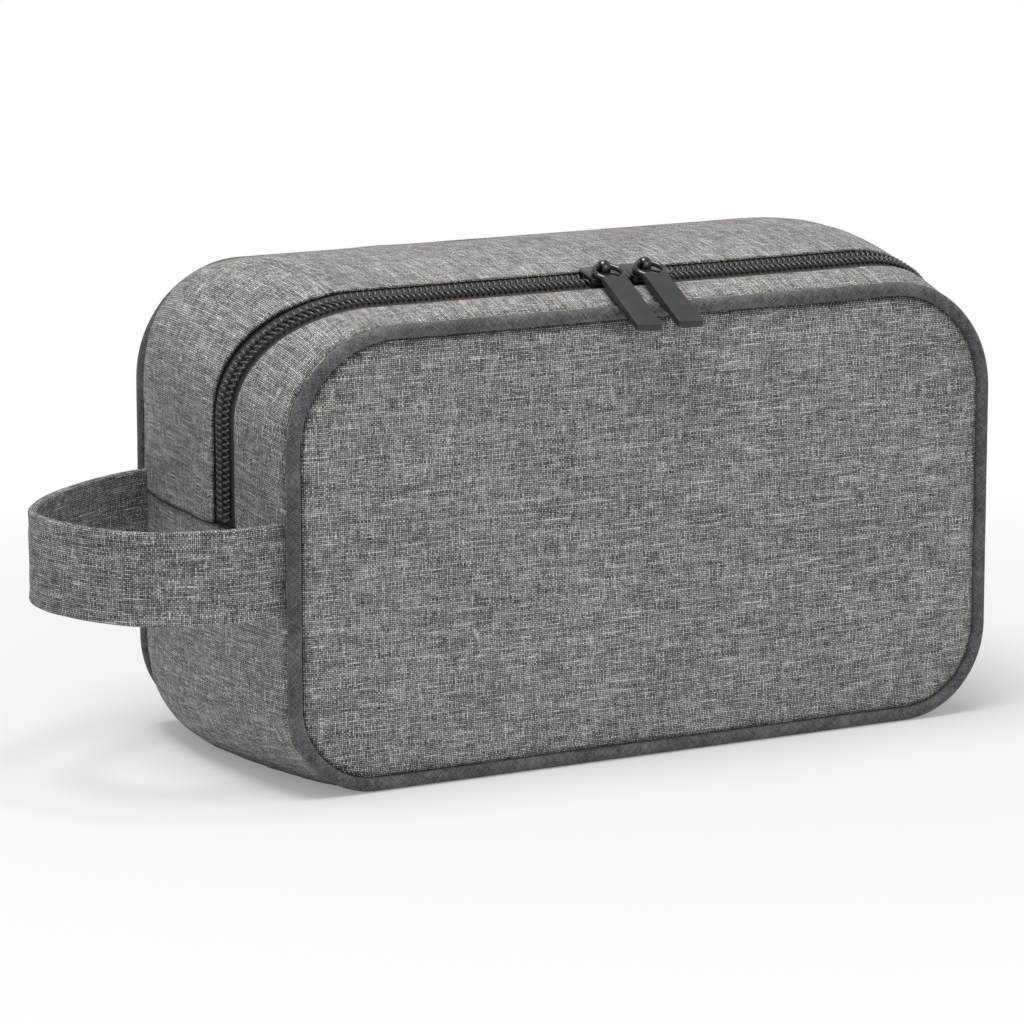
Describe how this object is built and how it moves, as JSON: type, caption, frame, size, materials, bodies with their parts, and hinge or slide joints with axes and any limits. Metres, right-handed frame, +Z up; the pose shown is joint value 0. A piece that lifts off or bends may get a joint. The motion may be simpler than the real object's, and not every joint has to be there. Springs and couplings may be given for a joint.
{
  "type": "toiletry bag",
  "caption": "Boxy padded cloth toiletry bag with piped seams, a two-slider zip round the top and a carry loop on one end.",
  "frame": {"origin": "centre of the bag's flat base, between the two piped seams, on the surface it stands on", "axes": "+X along the bag away from the carry loop, -Y to the front panel, +Z up"},
  "size_m": [0.3235, 0.1322, 0.1582],
  "materials": {
    "heather_cloth": "two-tone woven polyester",
    "piping_cloth": "fine plain-woven bias tape",
    "padding": "closed padding foam",
    "lining_cloth": "smooth lining cloth",
    "cord_core": "twisted filler cord",
    "zip_tape": "woven zip tape",
    "zip_coil": "satin monofilament coil",
    "slider_metal": "gloss black enamel",
    "pull_metal": "matte black enamel"
  },
  "bodies": {
    "bag": {"front_panel": "heather_cloth", "front_panel_foam": "padding", "front_panel_lining": "lining_cloth", "back_panel": "heather_cloth", "back_panel_foam": "padding", "back_panel_lining": "lining_cloth", "lower_gusset": "heather_cloth", "lower_gusset_foam": "padding", "lower_gusset_lining": "lining_cloth", "top_front_strip": "heather_cloth", "top_front_strip_foam": "padding", "top_front_strip_lining": "lining_cloth", "top_rear_strip": "heather_cloth", "top_rear_strip_foam": "padding", "top_rear_strip_lining": "lining_cloth", "front_piping_cover": "piping_cloth", "front_piping_cord": "cord_core", "front_seam_binding": "piping_cloth", "back_piping_cover": "piping_cloth", "back_piping_cord": "cord_core", "back_seam_binding": "piping_cloth", "zipper_tape_front": "zip_tape", "zipper_tape_rear": "zip_tape", "zipper_coil_front": "zip_coil", "zipper_coil_rear": "zip_coil", "handle_strap": "heather_cloth", "handle_core": "cord_core"},
    "slider_left_body": {"slider_left": "slider_metal"},
    "slider_right_body": {"slider_right": "slider_metal"},
    "pull_left_body": {"pull_left": "pull_metal"},
    "pull_right_body": {"pull_right": "pull_metal"}
  },
  "joints": [
    {"name": "slider_left_slide", "type": "slide", "parent": "bag", "child": "slider_left_body", "axis": [-1, 0, 0], "range_m": [0, 0.075]},
    {"name": "slider_right_slide", "type": "slide", "parent": "bag", "child": "slider_right_body", "axis": [1, 0, 0], "range_m": [0, 0.07]},
    {"name": "pull_left_hinge", "type": "hinge", "parent": "slider_left_body", "child": "pull_left_body", "pos_m": [-0.005, -0.03408, 0.15526], "axis": [-1, 0, 0], "range_deg": [0, 185]},
    {"name": "pull_right_hinge", "type": "hinge", "parent": "slider_right_body", "child": "pull_right_body", "pos_m": [0.0099, -0.03408, 0.15526], "axis": [-1, 0, 0], "range_deg": [0, 185]}
  ]
}
